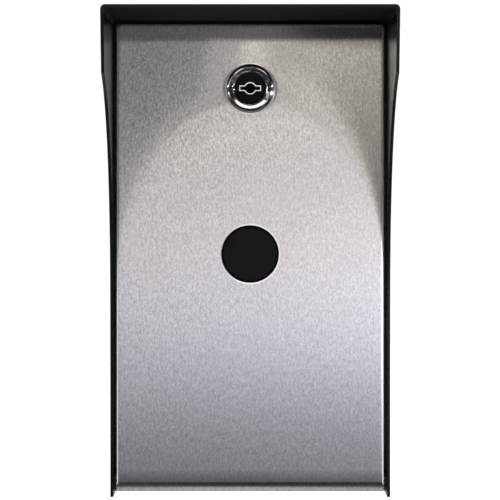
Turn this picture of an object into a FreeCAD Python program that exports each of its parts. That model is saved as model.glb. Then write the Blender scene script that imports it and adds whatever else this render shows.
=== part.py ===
import FreeCAD, Part
import os
import math

os.makedirs("parts", exist_ok=True)
V = FreeCAD.Vector

# Door intercom panel. Millimetres. +Z up, the face looks along -Y, the wall is
# the plane Y = 0, and the origin is the centre of the four wall fixings.

# ---- driving dimensions ----
# rain hood: one folded sheet, roof and two sides, open below
HOOD_HALF_W = 72.5        # outside, half the width
HOOD_T = 1.6              # sheet
HOOD_TOP = 123.8          # outside of the roof
HOOD_BOT = -124.5         # lower end of the side walls
HOOD_BEND = 2.4           # outside radius of the two folds
FACE_Y = -38.0            # front of the faceplate
ROOF_PROJ = 57.0          # roof lip in front of the faceplate
CORNER_PROJ = 51.6        # side wall in front of the faceplate at its corner
CORNER_Z = 91.2           # height of that corner
SWEEP = [(74.6, 18.0), (27.0, 0.5), (-24.0, 0.5)]   # (z, projection) of the sweep
SIDE_PROJ = 0.5           # side walls below the sweep

# faceplate door: a folded tray whose lower edge is rolled round the hinge pin
DOOR_HALF_W = 69.25
DOOR_T = 1.5
DOOR_TOP = 120.5
DOOR_DEPTH = 10.0         # depth of the folded returns
DOOR_CORNER = 2.6
DOOR_BEND = 1.6
ROLL_R = 5.8              # outside of the rolled edge
ROLL_Y = FACE_Y + ROLL_R
ROLL_Z = -116.8
ROLL_WRAP = 250.0
PIN_R = 4.22
EAR_R = 5.5
RETURN_BOT = -110.6

# back box: back plate, four folded walls and a raised neck that the door closes on
BOX_HALF_W = 70.8
BOX_TOP = 122.1
BOX_BOT = -122.4
BOX_T = 1.5
SHOULDER_Y = -24.0
NECK_Y = -32.0
NECK_HALF_W = 64.0
NECK_TOP = 115.5
NECK_BOT = -110.5
FIX_X = 50.0              # wall fixings
FIX_Z = 95.0
FIX_R = 2.75

# cable entry
CABLE_Z = -85.0
CABLE_HOLE_R = 10.5
CABLE_R = 6.0

# cam lock
LOCK_Z = 87.15
LOCK_FLANGE_R = 12.7
LOCK_FLANGE_H = 2.6
LOCK_CREST_R = 10.7
LOCK_BARREL_R = 9.5
LOCK_FLAT = 8.4
LOCK_BARREL_END = -18.0
PLUG_HEAD_R = 8.25
PLUG_R = 6.5
KEY_W = 10.4
KEY_H = 2.0
KEY_R = 2.75
KEY_RIM = 0.42
CAM_L = 22.0

# call button
BTN_Z = 1.4
BTN_R = 13.65
BTN_COLLAR_R = 14.9
BTN_SLEEVE_R = 14.3
BTN_TRAVEL = 2.0
BTN_PROUD = 1.2
COLLAR_PROUD = 0.8

EARTH_X = -54.0
EARTH_Z = -40.0

# electronics
BOARD_Y = -7.5            # back of the circuit board
BOARD_T = 1.6


def box(x0, x1, y0, y1, z0, z1):
    return Part.makeBox(x1 - x0, y1 - y0, z1 - z0, V(x0, y0, z0))


def cyl_y(r, y0, y1, x, z):
    return Part.makeCylinder(r, y1 - y0, V(x, y0, z), V(0, 1, 0))


def cyl_x(r, x0, x1, y, z):
    return Part.makeCylinder(r, x1 - x0, V(x0, y, z), V(1, 0, 0))


def cyl_z(r, z0, z1, x, y):
    return Part.makeCylinder(r, z1 - z0, V(x, y, z0), V(0, 0, 1))


def ring_y(ro, ri, y0, y1, x, z):
    return cyl_y(ro, y0, y1, x, z).cut(cyl_y(ri, y0 - 1, y1 + 1, x, z))


def hex_y(af, y0, y1, x, z, turn=0.0):
    r = af / math.sqrt(3.0)
    pts = [V(x + r * math.cos(math.radians(60 * k + turn)), y0,
             z + r * math.sin(math.radians(60 * k + turn))) for k in range(7)]
    return Part.Face(Part.makePolygon(pts)).extrude(V(0, y1 - y0, 0))


def edges_where(shape, test):
    return [e for e in shape.Edges if test(e)]


def along(e, axis):
    a, b = e.Vertexes[0].Point, e.Vertexes[-1].Point
    d = b.sub(a)
    if d.Length < 1e-6:
        return False
    d.normalize()
    return abs(d.dot(axis)) > 0.999


def mid(e):
    return e.CenterOfMass


def profile_yz(x0, x1, edges):
    return Part.Face(Part.Wire(edges)).extrude(V(x1 - x0, 0, 0)).translated(V(x0, 0, 0))


nodes = {}


def put(name, *shapes):
    s = shapes[0] if len(shapes) == 1 else Part.makeCompound(list(shapes))
    nodes[name] = s


# ---------------------------------------------------------------- rain hood
def hood_u(grow, y0, y1):
    hw = HOOD_HALF_W - grow
    top = HOOD_TOP - grow
    r = HOOD_BEND - grow
    b = box(-hw, hw, y0, y1, HOOD_BOT - (5.0 if grow else 0.0), top)
    ed = edges_where(b, lambda e: along(e, V(0, 1, 0)) and mid(e).z > 0)
    return b.makeFillet(r, ed)


front = FACE_Y - ROOF_PROJ
hood = hood_u(0.0, front, 0.0).cut(hood_u(HOOD_T, front - 1, 1.0))
zc, dc = CORNER_Z, CORNER_PROJ
curve = Part.BezierCurve()
curve.setPoles([V(0, FACE_Y - dc, zc)] + [V(0, FACE_Y - d, z) for z, d in SWEEP])
p_top = V(0, front, HOOD_TOP + 0.0)
p_corner = V(0, FACE_Y - dc, zc)
p_end = V(0, FACE_Y - SIDE_PROJ, SWEEP[-1][0])
p_bot = V(0, FACE_Y - SIDE_PROJ, HOOD_BOT - 10)
p_b2 = V(0, front - 20, HOOD_BOT - 10)
p_t2 = V(0, front - 20, HOOD_TOP + 0.0)
cutter = profile_yz(-90, 90, [
    Part.makeLine(p_top, p_corner), curve.toShape(), Part.makeLine(p_end, p_bot),
    Part.makeLine(p_bot, p_b2), Part.makeLine(p_b2, p_t2), Part.makeLine(p_t2, p_top)])
hood = hood.cut(cutter)

HOOD_SCREWS = [(-1, -80.0), (-1, 0.0), (-1, 80.0), (1, -80.0), (1, 0.0), (1, 80.0)]
SCREW_Y = -12.0


def side_csk(sgn, y, z, r_head, r_shank, depth, x_out, length):
    """Countersunk screw lying along X, its flat head at x_out."""
    cone = Part.makeCone(r_head, r_shank, depth, V(sgn * x_out, y, z), V(-sgn, 0, 0))
    shank = Part.makeCylinder(r_shank, length, V(sgn * x_out, y, z), V(-sgn, 0, 0))
    return cone.fuse(shank)


screws, nuts = [], []
for sgn, z in HOOD_SCREWS:
    hole = side_csk(sgn, SCREW_Y, z, 3.15, 1.65, 1.55, HOOD_HALF_W, 12.0)
    lead = Part.makeCylinder(3.15, 1.0, V(sgn * HOOD_HALF_W, SCREW_Y, z), V(sgn, 0, 0))
    hood = hood.cut(hole.fuse(lead))
    s = side_csk(sgn, SCREW_Y, z, 3.05, 1.5, 1.55, HOOD_HALF_W - 0.03, 8.0)
    r = 1.0 * 2 / math.sqrt(3.0)
    pts = [V(sgn * (HOOD_HALF_W + 0.5), SCREW_Y + r * math.cos(math.radians(60 * k)),
             z + r * math.sin(math.radians(60 * k))) for k in range(7)]
    sock = Part.Face(Part.makePolygon(pts)).extrude(V(-sgn * 1.9, 0, 0))
    screws.append(s.cut(sock))
    n = Part.makeCylinder(3.4, 2.6, V(sgn * (BOX_HALF_W - BOX_T), SCREW_Y, z), V(-sgn, 0, 0))
    n = n.cut(Part.makeCylinder(1.6, 6.0, V(sgn * BOX_HALF_W, SCREW_Y, z), V(-sgn, 0, 0)))
    nuts.append(n)
put("rain_hood", hood)
put("hood_screws", *screws)
put("hood_nuts", *nuts)

# ---------------------------------------------------------------- back box
# back plate and walls
t = BOX_T
bx = box(-BOX_HALF_W, BOX_HALF_W, -t, 0, BOX_BOT, BOX_TOP)
bx = bx.makeFillet(1.8, edges_where(bx, lambda e: along(e, V(0, 1, 0))))
walls = box(-BOX_HALF_W, BOX_HALF_W, SHOULDER_Y + t, -t, BOX_BOT, BOX_TOP)
walls = walls.makeFillet(1.8, edges_where(walls, lambda e: along(e, V(0, 1, 0))))
walls = walls.cut(box(-BOX_HALF_W + t, BOX_HALF_W - t, SHOULDER_Y, 1, BOX_BOT + t, BOX_TOP - t))
# the neck: a folded frame welded across the front of the box
plate = box(-BOX_HALF_W, BOX_HALF_W, SHOULDER_Y, SHOULDER_Y + t, BOX_BOT, BOX_TOP)
plate = plate.makeFillet(1.8, edges_where(plate, lambda e: along(e, V(0, 1, 0))))
neck = box(-NECK_HALF_W, NECK_HALF_W, NECK_Y, SHOULDER_Y + t, NECK_BOT, NECK_TOP)
neck = neck.makeFillet(3.0, edges_where(neck, lambda e: along(e, V(0, 1, 0))))
mouth = box(-NECK_HALF_W + t, NECK_HALF_W - t, NECK_Y - 1, SHOULDER_Y + t + 1,
            NECK_BOT + t, NECK_TOP - t)
mouth = mouth.makeFillet(1.5, edges_where(mouth, lambda e: along(e, V(0, 1, 0))))
nk = plate.fuse(neck).cut(mouth)
for sx in (-1, 1):
    for sz in (-1, 1):
        bx = bx.cut(cyl_y(FIX_R, -3, 1, sx * FIX_X, sz * FIX_Z))
bx = bx.cut(cyl_y(CABLE_HOLE_R, -3, 1, 0, CABLE_Z))
for sgn, z in HOOD_SCREWS:
    walls = walls.cut(cyl_x(1.65, min(sgn * 60, sgn * 75), max(sgn * 60, sgn * 75), SCREW_Y, z))
SLOTS = [-15.0 + 5.0 * k for k in range(7)]
for x in SLOTS:                                   # sound slots, facing the ground
    walls = walls.cut(box(x - 1.0, x + 1.0, -19.0, -6.0, BOX_BOT - 1, BOX_BOT + 3))
walls = walls.cut(cyl_z(1.5, BOX_BOT - 1, BOX_BOT + 3, 46.0, -12.0))      # microphone port
put("box_walls", walls)
# rivet holes of the hinge brackets and of the strike
RIVETS = [(s * 62.5, z) for s in (-1, 1) for z in (-113.9, -118.1)]
for x, z in RIVETS:
    nk = nk.cut(cyl_y(1.55, SHOULDER_Y - 1, SHOULDER_Y + 3, x, z))
for x in (-6.0, 6.0):
    nk = nk.cut(cyl_z(1.25, NECK_TOP - 4, NECK_TOP + 2, x, -27.0))
put("box_neck", nk)
bx = bx.cut(cyl_y(2.1, -3, 1, EARTH_X, EARTH_Z))                      # earth stud
STAND = [(-38.0, -58.0), (38.0, -58.0), (-38.0, 48.0), (38.0, 48.0)]
put("back_plate", bx)

# ---------------------------------------------------------------- hinge
EAR_X0, EAR_X1 = 69.5, 70.6
brackets = []
for s in (-1, 1):
    ear = cyl_x(EAR_R, EAR_X0, EAR_X1, ROLL_Y, ROLL_Z).fuse(
        box(EAR_X0, EAR_X1, ROLL_Y, SHOULDER_Y, ROLL_Z - EAR_R, ROLL_Z + EAR_R))
    foot = box(57.0, EAR_X1, SHOULDER_Y - 1.1, SHOULDER_Y, ROLL_Z - EAR_R, ROLL_Z + EAR_R)
    b = ear.fuse(foot).removeSplitter()
    b = b.cut(cyl_x(PIN_R + 0.06, 60, 80, ROLL_Y, ROLL_Z))
    for x, z in RIVETS:
        if x > 0:
            b = b.cut(cyl_y(1.55, SHOULDER_Y - 3, SHOULDER_Y + 1, x, z))
    if s < 0:
        b = b.mirror(V(0, 0, 0), V(1, 0, 0))
    brackets.append(b)
put("hinge_brackets", *brackets)
riv = []
for x, z in RIVETS:
    r = cyl_y(1.5, SHOULDER_Y - 1.1, SHOULDER_Y + BOX_T, x, z)
    head = cyl_y(2.6, SHOULDER_Y - 1.9, SHOULDER_Y - 1.1, x, z)
    head = head.makeFillet(0.5, edges_where(head, lambda e: mid(e).y < SHOULDER_Y - 1.7))
    tail = cyl_y(2.3, SHOULDER_Y + BOX_T, SHOULDER_Y + BOX_T + 0.9, x, z)
    riv.append(r.fuse(head).fuse(tail))
put("hinge_rivets", *riv)
pin = cyl_x(PIN_R, -70.6, 70.6, ROLL_Y, ROLL_Z)
put("hinge_pin", pin)

# ---------------------------------------------------------------- faceplate door
tray = box(-DOOR_HALF_W, DOOR_HALF_W, FACE_Y, FACE_Y + DOOR_DEPTH, RETURN_BOT, DOOR_TOP)
tray = tray.makeFillet(DOOR_CORNER, edges_where(
    tray, lambda e: along(e, V(0, 1, 0)) and mid(e).z > 0))
tray = tray.makeFillet(DOOR_BEND, edges_where(
    tray, lambda e: abs(mid(e).y - FACE_Y) < 1e-3 and mid(e).z > RETURN_BOT + 0.01))
dt = DOOR_T
hollow = box(-DOOR_HALF_W + dt, DOOR_HALF_W - dt, FACE_Y + dt, FACE_Y + DOOR_DEPTH + 1,
             RETURN_BOT - 1, DOOR_TOP - dt)
hollow = hollow.makeFillet(DOOR_CORNER - dt, edges_where(
    hollow, lambda e: along(e, V(0, 1, 0)) and mid(e).z > 0))
door = tray.cut(hollow)
# the lower strip of the face, and the roll that its end makes round the pin
lower = box(-DOOR_HALF_W, DOOR_HALF_W, FACE_Y, FACE_Y + dt, ROLL_Z, RETURN_BOT)
lower_edges = edges_where(lower, lambda e: along(e, V(0, 0, 1)) and abs(mid(e).y - FACE_Y) < 1e-3)
lower = lower.makeFillet(1.4, lower_edges)


def polar(r, deg):
    """Point of the roll: 0 deg faces the front, 90 deg the ground."""
    a = math.radians(deg)
    return V(0, ROLL_Y - r * math.cos(a), ROLL_Z - r * math.sin(a))


ro, ri, w = ROLL_R, ROLL_R - DOOR_T, ROLL_WRAP
roll = profile_yz(-DOOR_HALF_W, DOOR_HALF_W, [
    Part.Arc(polar(ro, 0), polar(ro, w / 2), polar(ro, w)).toShape(),
    Part.makeLine(polar(ro, w), polar(ri, w)),
    Part.Arc(polar(ri, w), polar(ri, w / 2), polar(ri, 0)).toShape(),
    Part.makeLine(polar(ri, 0), polar(ro, 0))])
door = door.fuse(lower).fuse(roll)
lock_hole = cyl_y(LOCK_BARREL_R + 0.1, FACE_Y - 1, FACE_Y + 3, 0, LOCK_Z).common(
    box(-LOCK_FLAT - 0.1, LOCK_FLAT + 0.1, FACE_Y - 2, FACE_Y + 4, LOCK_Z - 20, LOCK_Z + 20))
door = door.cut(lock_hole).cut(cyl_y(BTN_SLEEVE_R + 0.1, FACE_Y - 1, FACE_Y + 3, 0, BTN_Z))
put("front_door", door)

# door gasket, glued inside the face and closing on the edge of the neck
g0 = box(-67.0, 67.0, FACE_Y + dt, NECK_Y - 0.05, -111.2, 118.4)
g0 = g0.makeFillet(3.0, edges_where(g0, lambda e: along(e, V(0, 1, 0))))
g1 = box(-60.5, 60.5, FACE_Y, NECK_Y + 1, -106.0, 112.2)
g1 = g1.makeFillet(2.0, edges_where(g1, lambda e: along(e, V(0, 1, 0))))
gasket = g0.cut(g1)
gasket = gasket.makeFillet(0.8, edges_where(gasket, lambda e: abs(mid(e).y - (NECK_Y - 0.05)) < 1e-3))
put("door_gasket", gasket)

# ---------------------------------------------------------------- cam lock
lz = LOCK_Z
fy = FACE_Y - LOCK_FLANGE_H
def turned(points, x, z):
    """Solid turned about the line (x, *, z): points are (radius, y), or a middle
    point given as a third item makes that step an arc."""
    edges, last = [], None
    for q in points + [points[0]]:
        here = V(q[0], q[1], 0)
        if last is not None:
            if len(q) > 2:
                edges.append(Part.Arc(last, V(q[2], q[3], 0), here).toShape())
            else:
                edges.append(Part.makeLine(last, here))
        last = here
    f = Part.Face(Part.Wire(edges))
    return f.revolve(V(0, 0, 0), V(0, 1, 0), 360).translated(V(x, 0, z))


rec = fy + 1.7
bore = PLUG_R + 0.06
body = turned([
    (bore, rec), (9.2, rec), (9.2, fy + 0.32), (LOCK_CREST_R - 0.25, fy + 0.035),
    (LOCK_CREST_R, fy, LOCK_CREST_R - 0.12, fy + 0.008),
    (LOCK_FLANGE_R, FACE_Y - 0.35, LOCK_CREST_R + 1.45, fy + 0.70),
    (LOCK_FLANGE_R, FACE_Y), (bore, FACE_Y)], 0, lz)
barrel = cyl_y(LOCK_BARREL_R, FACE_Y - 0.5, LOCK_BARREL_END, 0, lz).common(
    box(-LOCK_FLAT, LOCK_FLAT, FACE_Y - 0.5, LOCK_BARREL_END, lz - 20, lz + 20))
body = body.fuse(barrel.cut(cyl_y(bore, FACE_Y - 3, LOCK_BARREL_END + 1, 0, lz)))
put("lock_body", body)
lring = ring_y(9.12, PLUG_HEAD_R + 0.1, fy + 0.5, rec, 0, lz)
lring = lring.makeFillet(0.36, edges_where(lring, lambda e: abs(mid(e).y - (fy + 0.5)) < 1e-3))
put("lock_ring", lring)
head = cyl_y(PLUG_HEAD_R, fy + 0.55, rec - 0.05, 0, lz)
head = head.makeFillet(0.35, edges_where(head, lambda e: abs(mid(e).y - (fy + 0.55)) < 1e-3))
plug = head.fuse(cyl_y(PLUG_R, rec - 0.1, -17.5, 0, lz))
plug = plug.fuse(box(-3.5, 3.5, -17.6, -14.8, lz - 3.5, lz + 3.5))
plug = plug.fuse(cyl_y(3.0, -14.9, -10.8, 0, lz))


def key_shape(grow, y0, y1):
    r = KEY_R + grow
    w, h = KEY_W / 2 + grow, KEY_H / 2 + grow
    return cyl_y(r, y0, y1, 0, lz).fuse(box(-w, w, y0, y1, lz - h, lz + h))


plug = plug.cut(key_shape(0.0, fy - 1, fy + 11.0)).cut(key_shape(KEY_RIM, fy - 1, fy + 2.5))
put("lock_plug", plug)
rim = key_shape(KEY_RIM - 0.02, fy + 0.45, fy + 2.5).cut(key_shape(0.0, fy - 1, fy + 4.0))
put("keyway_rim", rim)
put("lock_washer", ring_y(12.6, LOCK_BARREL_R + 0.08, FACE_Y + dt, FACE_Y + dt + 1.0, 0, lz))
ny = FACE_Y + dt + 1.0
nut = hex_y(24.0, ny, ny + 4.0, 0, lz, 30.0).cut(cyl_y(LOCK_BARREL_R + 0.06, ny - 1, ny + 6, 0, lz))
nut = nut.common(cyl_y(13.4, ny, ny + 4.0, 0, lz))
put("lock_nut", nut)
cam = cyl_y(7.5, -17.3, -14.8, 0, lz).fuse(box(-CAM_L, 0, -17.3, -14.8, lz - 6, lz + 6))
cam = cam.makeFillet(2.0, edges_where(cam, lambda e: along(e, V(0, 1, 0)) and mid(e).x < -CAM_L + 0.1))
cam = cam.cut(box(-3.56, 3.56, -18, -14, lz - 3.56, lz + 3.56))
put("lock_cam", cam)
cn = hex_y(10.0, -14.8, -11.6, 0, lz).cut(cyl_y(3.06, -16, -10, 0, lz))
put("lock_cam_nut", cn)
# strike that the cam turns behind
strike = box(-10, 10, -30.0, -17.5, NECK_TOP - BOX_T - 1.5, NECK_TOP - BOX_T).fuse(
    box(-10, 10, -19.0, -17.5, 103.0, NECK_TOP - BOX_T))
strike = strike.removeSplitter()
strike = strike.makeFillet(2.0, edges_where(
    strike, lambda e: along(e, V(0, 1, 0)) and mid(e).z < 103.1))
for x in (-6.0, 6.0):
    strike = strike.cut(cyl_z(1.25, NECK_TOP - 6, NECK_TOP, x, -27.0))
put("lock_strike", strike)
sr = []
for x in (-6.0, 6.0):
    r = cyl_z(1.2, NECK_TOP - BOX_T - 1.5, NECK_TOP, x, -27.0)
    r = r.fuse(cyl_z(2.2, NECK_TOP - BOX_T - 2.4, NECK_TOP - BOX_T - 1.5, x, -27.0))
    r = r.fuse(cyl_z(2.0, NECK_TOP, NECK_TOP + 0.7, x, -27.0))
    sr.append(r)
put("strike_rivets", *sr)

# ---------------------------------------------------------------- call button
bz = BTN_Z
cf = FACE_Y - COLLAR_PROUD
bc = cyl_y(BTN_COLLAR_R, cf, FACE_Y, 0, bz)
bc = bc.makeFillet(0.35, edges_where(bc, lambda e: abs(mid(e).y - cf) < 1e-3))
bc = bc.fuse(cyl_y(BTN_SLEEVE_R, FACE_Y - 0.3, -24.0, 0, bz))
bc = bc.cut(cyl_y(BTN_R + 0.09, cf - 1, -34.6, 0, bz))
bc = bc.cut(cyl_y(11.5, -35.0, -30.0, 0, bz))
bc = bc.cut(cyl_y(4.08, -31.0, -27.0, 0, bz))
bc = bc.cut(cyl_y(11.5, -28.0, -23.0, 0, bz))
put("button_collar", bc)
bf = FACE_Y - BTN_PROUD
cap = cyl_y(BTN_R, bf, bf + 2.2, 0, bz)
cap = cap.makeFillet(0.4, edges_where(cap, lambda e: abs(mid(e).y - bf) < 1e-3))
cap = cap.fuse(cyl_y(4.0, bf + 2.0, -24.5, 0, bz))
cap = cap.cut(ring_y(5.0, 3.2, -28.0, -27.1, 0, bz))
put("call_button", cap)
clip = ring_y(6.5, 3.25, -27.95, -27.15, 0, bz).cut(box(-2.4, 2.4, -29, -26, bz - 8, bz))
put("button_clip", clip)
# coil spring round the stem: a faceted wire, one ring of corners per step
wire_r = 0.4
coil_r, pitch, coil_turns, steps, sides = 6.6, 1.3, 4.5, 14, 8
count = int(coil_turns * steps)
rings = []
for k in range(count + 1):
    a = 2 * math.pi * k / steps
    cx, cz = coil_r * math.cos(a), coil_r * math.sin(a)
    cy = -30.0 - wire_r - 0.05 - pitch * k / steps
    ring = []
    for m in range(sides):
        b = 2 * math.pi * m / sides
        rr = coil_r + wire_r * math.cos(b)
        ring.append(V(rr * math.cos(a), cy - wire_r * math.sin(b), bz + rr * math.sin(a)))
    rings.append(ring)


def tri(p, q, r):
    return Part.Face(Part.makePolygon([p, q, r, p]))


facets = [Part.Face(Part.makePolygon(rings[0] + rings[0][:1])),
          Part.Face(Part.makePolygon(rings[-1] + rings[-1][:1]))]
for k in range(count):
    for m in range(sides):
        p, q = rings[k][m], rings[k][(m + 1) % sides]
        p2, q2 = rings[k + 1][m], rings[k + 1][(m + 1) % sides]
        facets.append(tri(p, q, q2))
        facets.append(tri(p, q2, p2))
spring = Part.makeSolid(Part.makeShell(facets))
if spring.Volume < 0:
    spring.reverse()
put("button_spring", spring)
put("button_seal", ring_y(17.4, BTN_SLEEVE_R + 0.08, FACE_Y + dt, FACE_Y + dt + 1.2, 0, bz))
n0 = FACE_Y + dt + 1.2
bn = hex_y(32.0, n0, n0 + 4.0, 0, bz).cut(cyl_y(BTN_SLEEVE_R + 0.06, n0 - 1, n0 + 6, 0, bz))
bn = bn.common(cyl_y(17.8, n0, n0 + 4.0, 0, bz))
put("button_nut", bn)
sw = box(-11, 11, -24.0, -17.0, bz - 8, bz + 8)
sw = sw.makeFillet(1.0, edges_where(sw, lambda e: along(e, V(0, 1, 0))))
sw = sw.fuse(cyl_y(11.4, -24.0, -22.6, 0, bz)).cut(cyl_y(4.5, -25, -21.0, 0, bz))
put("button_switch", sw)
put("switch_dome", Part.makeSphere(4.0, V(0, -18.35, bz)).common(
    cyl_y(3.6, -23.0, -21.0, 0, bz)))
put("switch_terminals", *[box(x - 0.4, x + 0.4, -17.0, -14.0, bz - 1.4, bz + 1.4)
                          for x in (-7.0, 7.0)])
mag = box(44, 56, FACE_Y + dt, -32.2, 101.0, 106.5)
mag = mag.makeFillet(0.8, edges_where(mag, lambda e: along(e, V(0, 1, 0))))
put("tamper_magnet", mag)
reed = box(40, 60, -31.0, -26.0, 108.6, NECK_TOP - BOX_T)
reed = reed.makeFillet(0.8, edges_where(reed, lambda e: along(e, V(1, 0, 0)) and mid(e).z < 109))
put("tamper_reed", reed)

# ---------------------------------------------------------------- cable entry, earth
gr = cyl_y(13.0, -BOX_T - 2.0, -BOX_T, 0, CABLE_Z)
gr = gr.makeFillet(0.8, edges_where(gr, lambda e: mid(e).y < -BOX_T - 1.9))
gr = gr.fuse(cyl_y(CABLE_HOLE_R - 0.08, -BOX_T, 0, 0, CABLE_Z)).cut(
    cyl_y(CABLE_R, -9, 1, 0, CABLE_Z))
put("cable_grommet", gr)
stud = cyl_y(2.0, -9.0, 0, EARTH_X, EARTH_Z)
put("earth_stud", stud)
put("earth_nut", hex_y(7.0, -BOX_T - 3.2, -BOX_T, EARTH_X, EARTH_Z).cut(
    cyl_y(2.06, -9, 0, EARTH_X, EARTH_Z)))

# ---------------------------------------------------------------- circuit board
by = BOARD_Y - BOARD_T
board = box(-42, 42, by, BOARD_Y, -62, 52)
board = board.makeFillet(2.5, edges_where(board, lambda e: along(e, V(0, 1, 0))))
for x, z in STAND:
    board = board.cut(cyl_y(1.6, -12, -5, x, z))
put("main_board", board)
put("board_standoffs", *[hex_y(5.5, BOARD_Y, -BOX_T, x, z).cut(
    cyl_y(1.55, BOARD_Y - 1, -BOX_T - 1.5, x, z)) for x, z in STAND])
bs = []
for x, z in STAND:
    h = cyl_y(2.8, by - 1.8, by, x, z)
    h = h.makeFillet(0.6, edges_where(h, lambda e: mid(e).y < by - 1.7))
    h = h.cut(box(x - 2.0, x + 2.0, by - 2, by - 1.0, z - 0.35, z + 0.35)).cut(
        box(x - 0.35, x + 0.35, by - 2, by - 1.0, z - 2.0, z + 2.0))
    bs.append(h.fuse(cyl_y(1.5, by, -4.5, x, z)))
put("board_screws", *bs)
# eight-way screw terminal, wires entering from below
tb = box(-22, 22, by - 11.0, by, -60.5, -50.5)
tb = tb.cut(box(-23, 23, by - 12, by - 8.5, -62, -57.5))
ts = []
for k in range(8):
    x = -19.25 + 5.5 * k
    tb = tb.cut(box(x - 1.8, x + 1.8, by - 6.0, by - 2.0, -61, -54.5))
    tb = tb.cut(cyl_y(2.0, by - 12, by - 6.6, x, -53.8))
    s = cyl_y(1.85, by - 9.6, by - 6.6, x, -53.8).cut(
        box(x - 2, x + 2, by - 10, by - 9.0, -54.1, -53.5))
    ts.append(s)
put("terminal_block", tb)
put("terminal_screws", *ts)
rl = box(-38, -19, by - 15.0, by, 20.0, 35.5)
put("relay", rl.makeFillet(0.6, edges_where(rl, lambda e: mid(e).y < by - 0.1)))
caps = []
for x, z, r, h in ((27.0, 38.0, 5.0, 12.0), (27.0, 25.5, 5.0, 12.0), (13.0, 42.0, 4.0, 9.0)):
    c = cyl_y(r, by - h, by, x, z)
    caps.append(c.makeFillet(0.5, edges_where(c, lambda e: mid(e).y < by - h + 0.1)))
put("capacitors", *caps)
put("processor", box(-7, 7, by - 1.4, by, -32, -18))
put("small_chips", box(-30, -24, by - 1.5, by, -38, -33), box(16, 22, by - 1.5, by, -30, -25),
    box(-8, -3, by - 1.5, by, 22, 26), box(-38, -33, by - 1.2, by, -20, -17))
put("board_connectors", *[box(35.0, 41.0, by - 6.0, by, z, z + 9.0).cut(
    box(36.0, 42.0, by - 7.0, by - 1.2, z + 1.0, z + 8.0)) for z in (-40.0, -24.0, 4.0)])
tr = box(-36, -21, by - 12.0, by, -12.0, 3.0)
put("audio_transformer", tr.makeFillet(0.8, edges_where(tr, lambda e: mid(e).y < by - 0.1)))
vt = box(17, 24, by - 5.0, by, -14.0, -7.0)
put("volume_trimmer", vt.cut(cyl_y(2.2, by - 6, by - 4.2, 20.5, -10.5)))

# ---------------------------------------------------------------- speaker, microphone
zb = BOX_BOT + BOX_T
put("speaker_gasket", box(-21, 21, -21.5, -3.5, zb, zb + 1.0).cut(
    box(-18.5, 18.5, -19.5, -5.5, zb - 1, zb + 2)))
sp = box(-20.5, 20.5, -21.0, -4.0, zb + 1.0, zb + 5.2)
sp = sp.makeFillet(2.0, edges_where(sp, lambda e: along(e, V(0, 0, 1))))
sp = sp.cut(box(-17.5, 17.5, -18.5, -6.5, zb, zb + 3.4))
put("speaker_frame", sp)
cone = box(-17.3, 17.3, -18.3, -6.7, zb + 2.6, zb + 3.3)
put("speaker_cone", cone)
sm = cyl_z(6.5, zb + 5.2, zb + 9.4, 0.0, -12.5)
put("speaker_magnet", sm)
boot = cyl_z(6.2, zb, zb + 7.0, 46.0, -12.0).cut(cyl_z(4.9, zb + 1.0, zb + 8.0, 46.0, -12.0)).cut(
    cyl_z(1.4, zb - 1, zb + 2.0, 46.0, -12.0))
put("microphone_boot", boot)
put("microphone", cyl_z(4.8, zb + 1.0, zb + 6.6, 46.0, -12.0))

for name, shape in nodes.items():
    shape.exportStep("parts/%s.step" % name)
    ok = shape.isValid()
    print("%-20s solids %d valid %s vol %.1f" % (name, len(shape.Solids), ok, shape.Volume))
print(len(nodes), "nodes")
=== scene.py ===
import bpy, bmesh, math
from mathutils import Vector, Matrix


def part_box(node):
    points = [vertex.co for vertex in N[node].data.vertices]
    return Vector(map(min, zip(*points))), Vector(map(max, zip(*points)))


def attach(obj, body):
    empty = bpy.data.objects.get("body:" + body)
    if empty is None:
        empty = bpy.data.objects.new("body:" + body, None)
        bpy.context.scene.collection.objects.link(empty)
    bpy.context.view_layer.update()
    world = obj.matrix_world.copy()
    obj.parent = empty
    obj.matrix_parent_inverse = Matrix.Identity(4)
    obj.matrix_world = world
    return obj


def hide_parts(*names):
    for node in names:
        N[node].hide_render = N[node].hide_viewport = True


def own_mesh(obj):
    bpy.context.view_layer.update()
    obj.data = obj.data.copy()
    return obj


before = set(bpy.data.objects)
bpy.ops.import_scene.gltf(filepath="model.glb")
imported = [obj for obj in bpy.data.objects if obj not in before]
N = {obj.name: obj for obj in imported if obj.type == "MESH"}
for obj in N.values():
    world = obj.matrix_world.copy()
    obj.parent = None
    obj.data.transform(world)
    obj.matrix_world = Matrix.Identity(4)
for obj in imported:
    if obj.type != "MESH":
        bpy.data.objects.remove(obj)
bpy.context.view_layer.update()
scene = bpy.context.scene
scene.view_settings.view_transform = "Standard"
MM = 0.001


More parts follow.
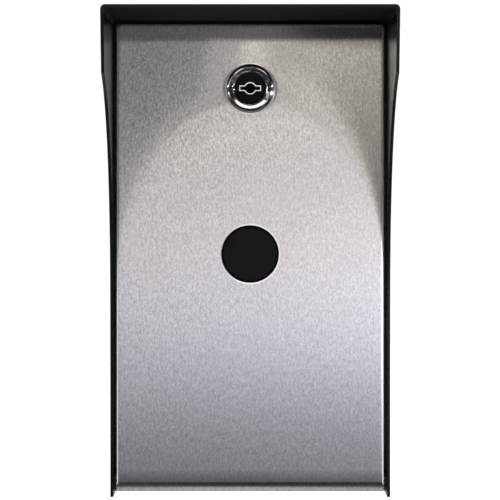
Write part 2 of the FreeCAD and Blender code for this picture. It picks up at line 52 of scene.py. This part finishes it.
# ------------------------------------------------------------------ materials
class Mat:
    """A small builder for node materials."""

    def __init__(self, name):
        self.m = bpy.data.materials.new(name)
        self.m.use_nodes = True
        self.t = self.m.node_tree
        self.t.nodes.clear()
        self.out = self.t.nodes.new("ShaderNodeOutputMaterial")
        self.p = self.t.nodes.new("ShaderNodeBsdfPrincipled")
        self.t.links.new(self.p.outputs[0], self.out.inputs[0])
        self.co = self.t.nodes.new("ShaderNodeTexCoord")

    def new(self, kind, **props):
        n = self.t.nodes.new(kind)
        for k, v in props.items():
            setattr(n, k, v)
        return n

    def link(self, a, b):
        self.t.links.new(a, b)

    def set(self, **vals):
        for k, v in vals.items():
            self.p.inputs[k.replace("_", " ")].default_value = v
        return self

    def mapped(self, scale=(1, 1, 1), loc=(0, 0, 0), rot=(0, 0, 0)):
        mp = self.new("ShaderNodeMapping")
        mp.inputs["Scale"].default_value = scale
        mp.inputs["Location"].default_value = loc
        mp.inputs["Rotation"].default_value = rot
        self.link(self.co.outputs["Object"], mp.inputs["Vector"])
        return mp.outputs[0]

    def noise(self, vec, scale=1.0, detail=3.0, rough=0.55, dist=0.0):
        n = self.new("ShaderNodeTexNoise")
        n.inputs["Scale"].default_value = scale
        n.inputs["Detail"].default_value = detail
        n.inputs["Roughness"].default_value = rough
        n.inputs["Distortion"].default_value = dist
        self.link(vec, n.inputs["Vector"])
        return n.outputs[0]

    def ramp(self, fac, stops):
        r = self.new("ShaderNodeValToRGB")
        el = r.color_ramp.elements
        while len(el) > 1:
            el.remove(el[-1])
        el[0].position = stops[0][0]
        el[0].color = tuple(stops[0][1]) + (1,) if len(stops[0][1]) == 3 else stops[0][1]
        for pos, col in stops[1:]:
            e = el.new(pos)
            e.color = tuple(col) + (1,) if len(col) == 3 else col
        self.link(fac, r.inputs[0])
        return r.outputs[0]

    def range(self, fac, lo, hi, a=0.0, b=1.0):
        r = self.new("ShaderNodeMapRange")
        r.inputs["From Min"].default_value = a
        r.inputs["From Max"].default_value = b
        r.inputs["To Min"].default_value = lo
        r.inputs["To Max"].default_value = hi
        self.link(fac, r.inputs["Value"])
        return r.outputs[0]

    def mix(self, fac, a, b):
        x = self.new("ShaderNodeMix", data_type="RGBA")
        if isinstance(fac, float):
            x.inputs[0].default_value = fac
        else:
            self.link(fac, x.inputs[0])
        for i, v in ((6, a), (7, b)):
            if isinstance(v, (tuple, list)):
                x.inputs[i].default_value = tuple(v) + (1,) if len(v) == 3 else v
            else:
                self.link(v, x.inputs[i])
        return x.outputs[2]

    def math(self, op, a, b=None):
        x = self.new("ShaderNodeMath", operation=op)
        for i, v in ((0, a), (1, b)):
            if v is None:
                continue
            if isinstance(v, (int, float)):
                x.inputs[i].default_value = v
            else:
                self.link(v, x.inputs[i])
        return x.outputs[0]

    def bump(self, height, strength=0.2, distance=0.0002, normal=None):
        b = self.new("ShaderNodeBump")
        b.inputs["Strength"].default_value = strength
        b.inputs["Distance"].default_value = distance
        self.link(height, b.inputs["Height"])
        if normal is not None:
            self.link(normal, b.inputs["Normal"])
        self.link(b.outputs[0], self.p.inputs["Normal"])
        return b.outputs[0]

    def color(self, sock):
        self.link(sock, self.p.inputs["Base Color"])
        return self

    def rough(self, sock):
        self.link(sock, self.p.inputs["Roughness"])
        return self


def powder_coat(name, base, light, rough=(0.36, 0.5), grain=900.0, bump=0.18, spec=0.5, dull=None):
    """Fine orange-peel coat with slow patches and light dust."""
    k = Mat(name)
    v = k.mapped()
    fine = k.noise(v, grain, 3.0, 0.6)
    slow = k.noise(v, 14.0, 3.0, 0.55)
    dust = k.noise(v, 160.0, 4.0, 0.7)
    k.color(k.mix(k.range(dust, 0.0, 0.35, 0.55, 0.8), k.ramp(slow, [(0.3, base), (0.7, light)]),
                  tuple(min(1.0, c * 1.9 + 0.006) for c in light)))
    rg = k.math("ADD", k.range(slow, rough[0], rough[1], 0.3, 0.7), k.range(fine, -0.04, 0.04, 0.3, 0.7))
    if dull:
        # the roof catches the overspray and is duller than the walls
        sp = k.new("ShaderNodeSeparateXYZ")
        k.link(k.co.outputs["Object"], sp.inputs[0])
        rg = k.math("MAXIMUM", rg, k.range(sp.outputs[2], 0.0, dull[1], dull[0] - 0.0015, dull[0]))
    k.rough(rg)
    k.bump(fine, bump, 0.00012)
    k.set(Specular_IOR_Level=spec)
    return k.m


def brushed(name, base, tint, rough, aniso, fine=(2000.0, 800.0), axis="Z", bump=0.06, contrast=0.5, highlight_rings=(), side=None, top=None, roll_shade=None):
    """Grain running along one axis of the object."""
    k = Mat(name)
    hi, lo = fine
    sc = {"Z": (hi, hi * 0.2, lo), "X": (lo, hi * 0.2, hi)}[axis]
    sc2 = {"Z": (hi * 0.45, hi * 0.1, lo * 0.4), "X": (lo * 0.4, hi * 0.1, hi * 0.45)}[axis]
    g1 = k.noise(k.mapped(sc), 1.0, 2.0, 0.6)
    g2 = k.noise(k.mapped(sc2, (3.1, 0.7, 1.9)), 1.0, 3.0, 0.6)
    cloud = k.noise(k.mapped((9.0, 9.0, 7.0), (0.4, 0.2, 0.9)), 1.0, 3.0, 0.5)
    g = k.math("ADD", k.math("MULTIPLY", g1, 0.6), k.math("MULTIPLY", g2, 0.4))
    col = k.ramp(g, [(0.5 - 0.14, tuple(c * (1 - 0.48 * contrast) for c in base)), (0.5, base),
                     (0.5 + 0.14, tuple(min(1.0, c * (1 + 0.48 * contrast)) for c in base))])
    col = k.mix(k.range(cloud, 0.0, 1.0, 0.35, 0.7), col, k.mix(0.5, col, tint))
    if highlight_rings or side:
        # painted highlight: a thin near-white band round each opening and along the folded sides, standing in for the
        # glints on the edges and bends
        sp = k.new("ShaderNodeSeparateXYZ")
        k.link(k.co.outputs["Object"], sp.inputs[0])
        painted_highlight = None
        for zc, r0, r1 in highlight_rings:
            dz = k.math("SUBTRACT", sp.outputs[2], zc)
            r = k.math("SQRT", k.math("ADD", k.math("POWER", k.math("ABSOLUTE", sp.outputs[0]), 2.0),
                                      k.math("POWER", k.math("ABSOLUTE", dz), 2.0)))
            m = k.math("MULTIPLY", k.math("GREATER_THAN", r, r0), k.range(r, 1.0, 0.0, r1 - 0.0002, r1))
            painted_highlight = m if painted_highlight is None else k.math("MAXIMUM", painted_highlight, m)
        polish = 1.0
        if side:
            m = k.math("MULTIPLY", k.range(k.math("ABSOLUTE", sp.outputs[0]), 0.0, 1.0, side, side + 0.0003),
                       k.range(sp.outputs[2], 0.0, 1.0, -0.1185, -0.1165))
            painted_highlight = m if painted_highlight is None else k.math("MAXIMUM", painted_highlight, m)
            # a fainter painted highlight along the top edge
            if top:
                top_highlight = k.range(sp.outputs[2], 0.0, 0.28, top - 0.0003, top)
                painted_highlight = k.math("MAXIMUM", painted_highlight, top_highlight)
                m = k.math("MAXIMUM", m, top_highlight)
            # the painted highlight along the sides and top is only half metallic, so it reads bright under diffuse
            # light
            k.link(k.range(m, 1.0, 0.5), k.p.inputs["Metallic"])
        if roll_shade:
            # painted shade: darker, towards near-black, where the sheet runs into the roll at the bottom, standing in
            # for the bend turning away from the light
            z0, z1, z2, z3 = roll_shade
            roll_shade_mask = k.math("MULTIPLY", k.range(sp.outputs[2], 0.0, 1.0, z0, z1), k.range(sp.outputs[2], 1.0, 0.0, z2, z3))
            col = k.mix(k.math("MULTIPLY", roll_shade_mask, 0.55), col, (0.10, 0.10, 0.10))
        # mix the painted highlight colour over the grain
        col = k.mix(painted_highlight, col, (0.95, 0.95, 0.94))
    k.color(col)
    rg = k.math("ADD", k.range(g, rough - 0.05, rough + 0.06, 0.3, 0.7), k.range(cloud, -0.02, 0.02, 0.3, 0.7))
    if highlight_rings or side:
        rg = k.math("MULTIPLY", rg, polish)
    k.rough(rg)
    k.set(Metallic=1.0, Anisotropic=aniso)
    tg = k.new("ShaderNodeTangent", direction_type="RADIAL", axis=axis)
    k.link(tg.outputs[0], k.p.inputs["Tangent"])
    k.bump(g1, bump, 0.00003)
    return k.m


def metal(name, base, rough=0.25, scratch=0.1, grain=420.0, var=0.12, metallic=1.0):
    """Turned or plated metal: faint streaks, slow tarnish, fine scratches."""
    k = Mat(name)
    slow = k.noise(k.mapped((60, 60, 60)), 1.0, 4.0, 0.6)
    fine = k.noise(k.mapped((grain * 4, grain * 0.5, grain * 4)), 1.0, 2.0, 0.5)
    k.color(k.mix(k.range(slow, 0.0, 1.0, 0.35, 0.7), tuple(c * (1 - var) for c in base), base))
    k.rough(k.math("ADD", k.range(slow, rough - 0.06, rough + 0.07, 0.3, 0.7), k.range(fine, -0.03, 0.03, 0.3, 0.7)))
    k.set(Metallic=metallic)
    k.bump(fine, scratch, 0.00002)
    return k.m


def plastic(name, base, light, rough=0.45, grain=1500.0, bump=0.12, coat=0.0, dist=0.00005, spec=0.5):
    """Moulded plastic or rubber: fine tooth, slow shade change, a few scuffs."""
    k = Mat(name)
    v = k.mapped()
    fine = k.noise(v, grain, 3.0, 0.6)
    slow = k.noise(v, 45.0, 3.0, 0.5)
    scuff = k.noise(k.mapped((220, 40, 90)), 1.0, 4.0, 0.7)
    k.color(k.mix(k.range(scuff, 0.0, 0.3, 0.6, 0.8), k.ramp(slow, [(0.3, base), (0.7, light)]),
                  tuple(min(1.0, c * 1.35 + 0.01) for c in light)))
    k.rough(k.math("ADD", k.range(slow, rough - 0.05, rough + 0.06, 0.3, 0.7), k.range(fine, -0.04, 0.04, 0.3, 0.7)))
    k.bump(fine, bump, dist)
    k.set(Specular_IOR_Level=spec)
    if coat:
        k.set(Coat_Weight=coat, Coat_Roughness=0.12)
    return k.m


def board_mat():
    """Solder mask with tracks, pads and a slight woven print-through."""
    k = Mat("solder_mask")
    v = k.mapped((1, 1, 1))
    br = k.new("ShaderNodeTexBrick")
    br.inputs["Scale"].default_value = 160.0
    br.inputs["Mortar Size"].default_value = 0.035
    br.inputs["Brick Width"].default_value = 0.9
    br.inputs["Row Height"].default_value = 0.22
    rot = k.mapped((1, 1, 1), rot=(math.radians(90), 0, 0))
    k.link(rot, br.inputs["Vector"])
    slow = k.noise(v, 60.0, 3.0, 0.5)
    base = k.ramp(slow, [(0.3, (0.012, 0.085, 0.035)), (0.7, (0.02, 0.12, 0.05))])
    k.color(k.mix(br.outputs["Fac"], base, (0.03, 0.2, 0.085)))
    k.rough(k.range(slow, 0.24, 0.36, 0.3, 0.7))
    k.bump(br.outputs["Fac"], 0.25, 0.00008)
    k.set(Coat_Weight=0.3, Coat_Roughness=0.1)
    return k.m


M = {}
M["coat"] = powder_coat("black_powder_coat", (0.0032, 0.0032, 0.0033), (0.0046, 0.0046, 0.0048), rough=(0.22, 0.30), bump=0.08, spec=0.34, dull=(0.1205, 0.85))
M["zinc_grey"] = powder_coat("grey_coat", (0.20, 0.205, 0.21), (0.25, 0.255, 0.26), rough=(0.4, 0.52), grain=700.0)
# the bands round the two openings and along the sides and top edge of the face are painted highlight
# the dark band at the bottom roll of the face is painted shade
M["face"] = brushed("brushed_stainless", (0.66, 0.655, 0.645), (0.62, 0.62, 0.635), 0.38, 0.9, contrast=0.64,
                    highlight_rings=((0.0014, 0.0140, 0.0158), (0.08715, 0.0120, 0.0133)), side=0.0683,
                    top=0.1191, roll_shade=(-0.1182, -0.1171, -0.1160, -0.1100))
M["bright"] = metal("bright_turned", (0.80, 0.80, 0.79), 0.12, 0.05, 500.0, 0.05)
M["nickel"] = metal("satin_nickel", (0.92, 0.92, 0.90), 0.42, 0.1, 500.0, 0.05, metallic=0.35)
M["zinc"] = metal("zinc_plate", (0.60, 0.60, 0.59), 0.3, 0.12)
M["brass"] = metal("turned_brass", (0.78, 0.58, 0.28), 0.26, 0.12)
M["can"] = metal("drawn_can", (0.70, 0.70, 0.71), 0.22, 0.08)
M["ferrite"] = metal("ferrite", (0.10, 0.10, 0.105), 0.5, 0.25, 900.0)
M["anod"] = plastic("black_anodised", (0.0012, 0.0012, 0.0013), (0.0018, 0.0018, 0.0019), 0.40, 2200.0, 0.08, spec=0.08)
M["cap"] = plastic("call_cap", (0.0040, 0.0040, 0.0040), (0.0052, 0.0052, 0.0052), 0.66, 1300.0, 0.16, spec=0.08)
M["lockblack"] = plastic("lock_black", (0.0024, 0.0024, 0.0026), (0.0036, 0.0036, 0.0040), 0.34, 2600.0, 0.08, spec=0.12)
M["rubber"] = plastic("moulded_rubber", (0.012, 0.012, 0.012), (0.02, 0.02, 0.02), 0.62, 1100.0, 0.3)
M["chip"] = plastic("moulded_epoxy", (0.016, 0.016, 0.017), (0.026, 0.026, 0.027), 0.5, 1900.0, 0.3)
M["green"] = plastic("terminal_green", (0.03, 0.25, 0.09), (0.045, 0.31, 0.12), 0.4)
M["nylon"] = plastic("natural_nylon", (0.72, 0.69, 0.60), (0.80, 0.77, 0.68), 0.42)
M["blue"] = plastic("relay_cover", (0.018, 0.06, 0.22), (0.025, 0.08, 0.28), 0.28, 1800.0, 0.08)
M["yellow"] = plastic("winding_tape", (0.55, 0.36, 0.06), (0.66, 0.45, 0.10), 0.38, 900.0, 0.2)
M["cone"] = plastic("speaker_cone", (0.03, 0.03, 0.032), (0.05, 0.05, 0.052), 0.6, 1500.0, 0.3)
M["foam"] = plastic("cell_foam", (0.10, 0.10, 0.105), (0.16, 0.16, 0.165), 0.85, 2200.0, 0.8, dist=0.0002)
M["board"] = board_mat()
M["track"] = plastic("masked_copper", (0.09, 0.40, 0.18), (0.11, 0.46, 0.22), 0.3, 1500.0, 0.1)
M["legend"] = plastic("legend_ink", (0.66, 0.67, 0.64), (0.76, 0.77, 0.74), 0.6, 1500.0, 0.1)

USE = {
    "coat": ["rain_hood", "hood_screws", "hinge_brackets"],
    "zinc_grey": ["back_plate", "box_walls", "box_neck"],
    "face": ["front_door"],
    "bright": ["lock_body", "lock_ring"],
    "nickel": ["keyway_rim"],
    "zinc": ["hood_nuts", "hinge_rivets", "hinge_pin", "lock_nut", "lock_cam", "lock_cam_nut", "lock_strike",
             "strike_rivets", "button_clip", "button_spring", "switch_dome", "board_screws", "terminal_screws"],
    "brass": ["switch_terminals", "earth_stud", "earth_nut", "board_standoffs"],
    "can": ["capacitors", "microphone"],
    "ferrite": ["speaker_magnet"],
    "anod": ["button_collar", "button_nut"],
    "cap": ["call_button"],
    "lockblack": ["lock_plug"],
    "rubber": ["door_gasket", "lock_washer", "button_seal", "cable_grommet", "microphone_boot"],
    "chip": ["button_switch", "processor", "small_chips", "speaker_frame"],
    "green": ["terminal_block"],
    "nylon": ["tamper_magnet", "tamper_reed", "board_connectors"],
    "blue": ["relay", "volume_trimmer"],
    "yellow": ["audio_transformer"],
    "cone": ["speaker_cone"],
    "foam": ["speaker_gasket"],
    "board": ["main_board"],
}
for key, names in USE.items():
    for n in names:
        o = N[n]
        o.data.materials.clear()
        o.data.materials.append(M[key])
left = sorted(set(N) - {n for ns in USE.values() for n in ns})
if left:
    raise RuntimeError("no material for %s" % left)


def solid(name, vs, fs, mat, body, smooth=False):
    me = bpy.data.meshes.new(name)
    me.from_pydata(vs, [], fs)
    me.update()
    if smooth:
        for p in me.polygons:
            p.use_smooth = True
    o = bpy.data.objects.new(name, me)
    scene.collection.objects.link(o)
    me.materials.append(mat)
    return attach(o, body)


def prism(vs, fs, corners, y0, y1):
    """A closed prism from x, z corners, from the plane y0 forward to y1."""
    n, b = len(corners), len(vs)
    area2 = sum(corners[i][0] * corners[(i + 1) % n][1] - corners[(i + 1) % n][0] * corners[i][1] for i in range(n))
    if area2 < 0:
        corners = corners[::-1]
    vs += [(x, y0, z) for x, z in corners] + [(x, y1, z) for x, z in corners]
    fs.append(tuple(range(b + n - 1, b - 1, -1)))
    fs.append(tuple(range(b + n, b + 2 * n)))
    fs += [(b + i, b + (i + 1) % n, b + n + (i + 1) % n, b + n + i) for i in range(n)]


def strip(vs, fs, p, q, w, y0, t):
    dx, dz = q[0] - p[0], q[1] - p[1]
    d = math.hypot(dx, dz)
    ux, uz = dx / d * w / 2, dz / d * w / 2
    prism(vs, fs, [(p[0] - ux - uz, p[1] - uz + ux), (p[0] - ux + uz, p[1] - uz - ux),
                   (q[0] + ux + uz, q[1] + uz - ux), (q[0] + ux - uz, q[1] + uz + ux)], y0, y0 - t)


def frame_line(vs, fs, x0, x1, z0, z1, w, y0, t):
    for p, q in (((x0, z0), (x1, z0)), ((x1, z0), (x1, z1)), ((x1, z1), (x0, z1)), ((x0, z1), (x0, z0))):
        strip(vs, fs, p, q, w, y0, t)


# return spring: round wire with closed ends, shortened by the stroke
MM = 0.001
(sx0, sy0, sz0), (sx1, sy1, sz1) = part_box("button_spring")
wire = 0.4 * MM
cr = (sx1 - sx0) / 2 - wire
ccx, ccz = 0.0, 1.4 * MM
y_in, y_out = sy1 - wire, sy0 + wire          # inner and outer ends of the wire's centre line
span = y_in - y_out
closed = 0.75
turns = 5.25
dead = closed * 2.06 * wire
vs, fs = [], []
NS, NR = 48, 10
steps = int(turns * NS)
for i in range(steps + 1):
    tt = i / NS
    if tt < closed:
        y = y_in - dead * tt / closed
    elif tt > turns - closed:
        y = y_out + dead * (turns - tt) / closed
    else:
        y = y_in - dead - (span - 2 * dead) * (tt - closed) / (turns - 2 * closed)
    a = 2 * math.pi * tt
    for j in range(NR):
        b = 2 * math.pi * j / NR
        rr = cr + wire * math.cos(b)
        vs.append((ccx + rr * math.cos(a), y - wire * math.sin(b), ccz + rr * math.sin(a)))
for i in range(steps):
    for j in range(NR):
        k2 = (j + 1) % NR
        fs.append((i * NR + j, (i + 1) * NR + j, (i + 1) * NR + k2, i * NR + k2))
fs.append(tuple(range(NR)))
fs.append(tuple(range(steps * NR + NR - 1, steps * NR - 1, -1)))
coil = solid("spring_coil", vs, fs, M["zinc"], "door", smooth=True)
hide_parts("button_spring")
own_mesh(coil)

# board: masked tracks, a plain outline legend, and the leads of the chips
bf_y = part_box("main_board")[0][1]
(px0, py0, pz0), (px1, py1, pz1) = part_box("processor")
ex, ez = (px0 + px1) / 2, (pz0 + pz1) / 2
vs, fs = [], []
LEADS = 12
for side_ in range(4):
    for i in range(LEADS):
        off = (i - (LEADS - 1) / 2) * 1.0 * MM
        for y0, y1, d0, d1 in ((bf_y - 0.62 * MM, bf_y - 0.80 * MM, -0.1, 0.55), (bf_y - 0.02 * MM, bf_y - 0.80 * MM, 0.45, 0.62),
                               (bf_y, bf_y - 0.18 * MM, 0.5, 1.35)):
            half = (px1 - px0) / 2
            a0, a1, hw = half + d0 * MM, half + d1 * MM, 0.19 * MM
            c4 = [(a0, off - hw), (a1, off - hw), (a1, off + hw), (a0, off + hw)]
            for _ in range(side_):
                c4 = [(-z, x) for x, z in c4]
            prism(vs, fs, [(ex + x, ez + z) for x, z in c4], y0, y1)
solid("chip_leads", vs, fs, M["zinc"], "housing")

vs, fs = [], []
W, T = 0.42 * MM, 0.035 * MM
(cx0, cy0, cz0), (cx1, cy1, cz1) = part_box("board_connectors")
(rx0, ry0, rz0), (rx1, ry1, rz1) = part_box("relay")
(tx0, ty0, tz0), (tx1, ty1, tz1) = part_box("terminal_block")
for i in range(LEADS):
    off = (i - (LEADS - 1) / 2) * 1.0 * MM
    # right side to the connectors
    p0 = (px1 + 1.2 * MM, ez + off)
    zt = cz0 + (cz1 - cz0) * (i + 0.5) / LEADS
    xk = px1 + (3.0 + 0.9 * abs(i - 5.5)) * MM
    run = abs(zt - p0[1])
    xe = min(xk + run, cx0 - 0.6 * MM)
    pts = [p0, (xk, p0[1]), (xe, p0[1] + math.copysign(xe - xk, zt - p0[1])), (cx0 + 1.0 * MM, p0[1] + math.copysign(xe - xk, zt - p0[1]))]
    for p, q in zip(pts, pts[1:]):
        if math.hypot(q[0] - p[0], q[1] - p[1]) > 1e-5:
            strip(vs, fs, p, q, W, bf_y, T)
    # underside to the terminals
    p0 = (ex + off, pz0 - 1.2 * MM)
    xt = tx0 + (tx1 - tx0) * (i + 0.5) / LEADS
    zk = pz0 - (3.0 + 0.8 * (5.5 - abs(i - 5.5))) * MM
    dxx = xt - p0[0]
    pts = [p0, (p0[0], zk), (xt, zk - abs(dxx)), (xt, tz1 - 0.5 * MM)]
    if zk - abs(dxx) > tz1:
        for p, q in zip(pts, pts[1:]):
            if math.hypot(q[0] - p[0], q[1] - p[1]) > 1e-5:
                strip(vs, fs, p, q, W, bf_y, T)
    # left side up to the relay
    p0 = (px0 - 1.2 * MM, ez + off)
    xk = px0 - (3.0 + 0.9 * (LEADS - 1 - i)) * MM
    pts = [p0, (xk, p0[1]), (xk - 3.0 * MM, p0[1] + 3.0 * MM), (xk - 3.0 * MM, rz0 + (i % 3) * 1.5 * MM)]
    for p, q in zip(pts, pts[1:]):
        strip(vs, fs, p, q, W, bf_y, T)
    # top side, short runs out to a row of vias
    p0 = (ex + off, pz1 + 1.2 * MM)
    top_z = pz1 + (5.0 + 2.2 * (i % 4)) * MM
    strip(vs, fs, p0, (p0[0], top_z), W, bf_y, T)
    prism(vs, fs, [(p0[0] + 0.45 * MM * math.cos(2 * math.pi * m / 10), top_z + 0.45 * MM * math.sin(2 * math.pi * m / 10)) for m in range(10)],
          bf_y, bf_y - 1.4 * T)
solid("board_tracks", vs, fs, M["track"], "housing")

vs, fs = [], []
for n, g in (("relay", 0.8), ("audio_transformer", 0.8), ("terminal_block", 0.8), ("volume_trimmer", 0.7)):
    (x0, _, z0), (x1, _, z1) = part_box(n)
    frame_line(vs, fs, x0 - g * MM, x1 + g * MM, z0 - g * MM, z1 + g * MM, 0.25 * MM, bf_y, 0.02 * MM)
frame_line(vs, fs, px0 - 2.6 * MM, px1 + 2.6 * MM, pz0 - 2.6 * MM, pz1 + 2.6 * MM, 0.2 * MM, bf_y, 0.045 * MM)
solid("board_outlines", vs, fs, M["legend"], "housing")

# ------------------------------------------------------------------ broken edges on the folded sheet
for n, w_ in (("rain_hood", 0.00022), ("hinge_brackets", 0.00015), ("button_collar", 0.00012), ("call_button", 0.00015)):
    b_ = N[n].modifiers.new("edge", "BEVEL")
    b_.width = w_
    b_.segments = 2
    b_.limit_method = "ANGLE"
    b_.angle_limit = math.radians(55)

# ------------------------------------------------------------------ stage, light, camera
def plane(name, corners, mat):
    me = bpy.data.meshes.new(name)
    me.from_pydata([tuple(c) for c in corners], [], [(0, 1, 2, 3)])
    o = bpy.data.objects.new(name, me)
    scene.collection.objects.link(o)
    me.materials.append(mat)
    return o


FLOOR_Z = -0.20
k = Mat("pale_floor")
slow = k.noise(k.mapped(), 3.0, 3.0, 0.5)
k.color(k.ramp(slow, [(0.3, (0.86, 0.86, 0.855)), (0.7, (0.90, 0.90, 0.895))]))
k.rough(k.range(slow, 0.75, 0.9))
k.set(Emission_Color=(1, 1, 1, 1), Emission_Strength=0.62)
LOW = FLOOR_Z - 0.20       # the floor stays clear of the door when it hangs open
floor = plane("floor", [(-6, -6, LOW), (6, -6, LOW), (6, 6, LOW), (-6, 6, LOW)], k.m)


def emissive(name, strength, col=(1, 1, 1), gradient=None, axis="Z"):
    m = bpy.data.materials.new(name)
    m.use_nodes = True
    t = m.node_tree
    t.nodes.clear()
    out = t.nodes.new("ShaderNodeOutputMaterial")
    em = t.nodes.new("ShaderNodeEmission")
    em.inputs["Color"].default_value = tuple(col) + (1,)
    em.inputs["Strength"].default_value = strength
    t.links.new(em.outputs[0], out.inputs[0])
    if gradient:
        co = t.nodes.new("ShaderNodeTexCoord")
        sp = t.nodes.new("ShaderNodeSeparateXYZ")
        t.links.new(co.outputs["Object"], sp.inputs[0])
        a, b = gradient[0][0], gradient[-1][0]
        mr = t.nodes.new("ShaderNodeMapRange")
        mr.inputs["From Min"].default_value = a
        mr.inputs["From Max"].default_value = b
        t.links.new(sp.outputs[axis], mr.inputs["Value"])
        r = t.nodes.new("ShaderNodeValToRGB")
        el = r.color_ramp.elements
        while len(el) > 1:
            el.remove(el[-1])
        el[0].position = 0.0
        el[0].color = (gradient[0][1],) * 3 + (1,)
        for z, v in gradient[1:]:
            e = el.new((z - a) / (b - a))
            e.color = (v,) * 3 + (1,)
        t.links.new(mr.outputs[0], r.inputs[0])
        ml = t.nodes.new("ShaderNodeMath")
        ml.operation = "MULTIPLY"
        ml.inputs[1].default_value = strength
        t.links.new(r.outputs[0], ml.inputs[0])
        t.links.new(ml.outputs[0], em.inputs["Strength"])
    return m


def only(o, camera=False, diffuse=True, glossy=True, shadow=True):
    o.visible_camera = camera
    o.visible_diffuse = diffuse
    o.visible_glossy = glossy
    o.visible_shadow = shadow
    return o


# a dark flag over the floor in front, for reflections alone
flag = plane("floor_flag", [(-2.5, -2.5, FLOOR_Z + 0.002), (2.5, -2.5, FLOOR_Z + 0.002), (2.5, -0.075, FLOOR_Z + 0.002),
                            (-2.5, -0.075, FLOOR_Z + 0.002)], emissive("flag", 0.03))
only(flag, diffuse=False, shadow=False)
near = plane("floor_near", [(-1.0, -0.075, FLOOR_Z + 0.002), (1.0, -0.075, FLOOR_Z + 0.002), (1.0, 0.9, FLOOR_Z + 0.002),
                            (-1.0, 0.9, FLOOR_Z + 0.002)], emissive("near", 0.56, (1.0, 0.985, 0.93)))
only(near, diffuse=False, shadow=False)
floor.visible_glossy = False
only(plane("floor_low", [(-6, -6, LOW + 0.002), (6, -6, LOW + 0.002), (6, 6, LOW + 0.002), (-6, 6, LOW + 0.002)],
           emissive("low", 0.18)), diffuse=False, shadow=False)
# a soft card over the front, caught by the turned parts of the lock
for nm, x0, x1, z0, z1 in (("high_front", -0.2, 0.2, 0.88, 1.12), ("high_front_left", -0.56, -0.2, 0.66, 1.0),
                           ("high_front_right", 0.2, 0.56, 0.66, 1.0)):
    only(plane(nm, [(x0, -1.6, z0), (x1, -1.6, z0), (x1, -1.6, z1), (x0, -1.6, z1)], emissive(nm, 2.2)),
         diffuse=False, shadow=False)
# side cards, caught by the folded edges of the sheet
for sgn, side_name in ((-1, "side_left"), (1, "side_right")):
    sc_ = plane(side_name, [(sgn * 0.62, -0.62, -0.30), (sgn * 1.30, -0.40, -0.30), (sgn * 1.30, -0.40, 0.04), (sgn * 0.62, -0.62, 0.04)],
                emissive(side_name, 0.45))
    only(sc_, diffuse=False, shadow=False)


def area(name, loc, target, size, power, size_y=None, col=(1, 1, 1), glossy=True):
    d = bpy.data.lights.new(name, "AREA")
    d.energy = power
    d.color = col
    d.size = size
    if size_y:
        d.shape = "RECTANGLE"
        d.size_y = size_y
    o = bpy.data.objects.new(name, d)
    scene.collection.objects.link(o)
    o.location = loc
    o.rotation_euler = (Vector(target) - Vector(loc)).to_track_quat("-Z", "Y").to_euler()
    o.visible_camera = False
    o.visible_glossy = glossy
    return o


def panel(name, x0, x1, z0, z1, power, col=(1, 1, 1)):
    """An upright soft panel in front of the object."""
    mid = ((x0 + x1) / 2, -1.6, (z0 + z1) / 2)
    return area(name, mid, (mid[0], 0, mid[2]), x1 - x0, power, z1 - z0, col)


def lamp(name, az, power, col=(1, 1, 1), el=7.4, r=1.2, sx=0.08, sz=0.02):
    """A small lamp at an azimuth from the front and a low elevation, aimed at the face."""
    a, e = math.radians(az), math.radians(el)
    return area(name, (r * math.sin(a) * math.cos(e), -0.038 - r * math.cos(a) * math.cos(e), 0.10 + r * math.sin(e)),
                (0, -0.038, 0.0), sx, power, sz, col)


SOFT, COOL, WARM, CLEAR = (1.05, 1.0, 0.84), (1.06, 1.0, 1.25), (1.07, 1.0, 0.86), (1.06, 1.0, 1.08)
panel("right_far_low", 1.45, 1.80, -0.25, -0.10, 10.4, COOL)
panel("right_mid", 1.20, 1.45, -0.10, 0.05, 2.7, SOFT)
panel("right_inner", 0.90, 1.20, -0.10, 0.05, 1.1, SOFT)
panel("centre_low", 0.0, 0.50, -0.25, -0.10, 0.54, COOL)
panel("left_inner", -1.20, -0.90, -0.10, 0.05, 0.34, SOFT)
panel("left_far_low", -1.80, -1.45, -0.25, -0.10, 2.0, COOL)
panel("high_left", -1.5, -0.5, 0.35, 0.60, 0.38, WARM)
lamp("lamp_left_wide", -60, 2.0, WARM)
lamp("lamp_left", -50, 2.5, WARM)
lamp("lamp_left_near", -42, 0.68, WARM)
lamp("lamp_right", 50, 1.37, CLEAR)
area("top_soft", (0.1, -0.5, 1.7), (0, -0.02, 0), 1.6, 8.0, glossy=False)
area("floor_wash", (0, 1.6, 1.8), (0, 1.0, FLOOR_Z), 2.4, 60.0, glossy=False)

w = bpy.data.worlds.new("studio")
scene.world = w
w.use_nodes = True
t = w.node_tree
t.nodes.clear()
wo = t.nodes.new("ShaderNodeOutputWorld")
b1 = t.nodes.new("ShaderNodeBackground")
b2 = t.nodes.new("ShaderNodeBackground")
b3 = t.nodes.new("ShaderNodeBackground")
lp = t.nodes.new("ShaderNodeLightPath")
m1 = t.nodes.new("ShaderNodeMixShader")
m2 = t.nodes.new("ShaderNodeMixShader")
b1.inputs[0].default_value = (1, 1, 1, 1)
b1.inputs[1].default_value = 0.55       # ambient
b2.inputs[0].default_value = (1, 1, 1, 1)
b2.inputs[1].default_value = 0.018      # seen in reflections
b3.inputs[0].default_value = (1, 1, 1, 1)
b3.inputs[1].default_value = 1.05       # seen by the camera
t.links.new(lp.outputs["Is Glossy Ray"], m1.inputs[0])
t.links.new(b1.outputs[0], m1.inputs[1])
t.links.new(b2.outputs[0], m1.inputs[2])
t.links.new(lp.outputs["Is Camera Ray"], m2.inputs[0])
t.links.new(m1.outputs[0], m2.inputs[1])
t.links.new(b3.outputs[0], m2.inputs[2])
t.links.new(m2.outputs[0], wo.inputs[0])

cam_d = bpy.data.cameras.new("cam")
cam = bpy.data.objects.new("cam", cam_d)
scene.collection.objects.link(cam)
cam.location = (-0.0001, -0.868, 0.0273)
cam.rotation_euler = (math.radians(90), 0, 0)
cam_d.lens = 115.35
cam_d.sensor_width = 36.0
cam_d.shift_y = -0.092
cam_d.clip_start = 0.01
scene.camera = cam
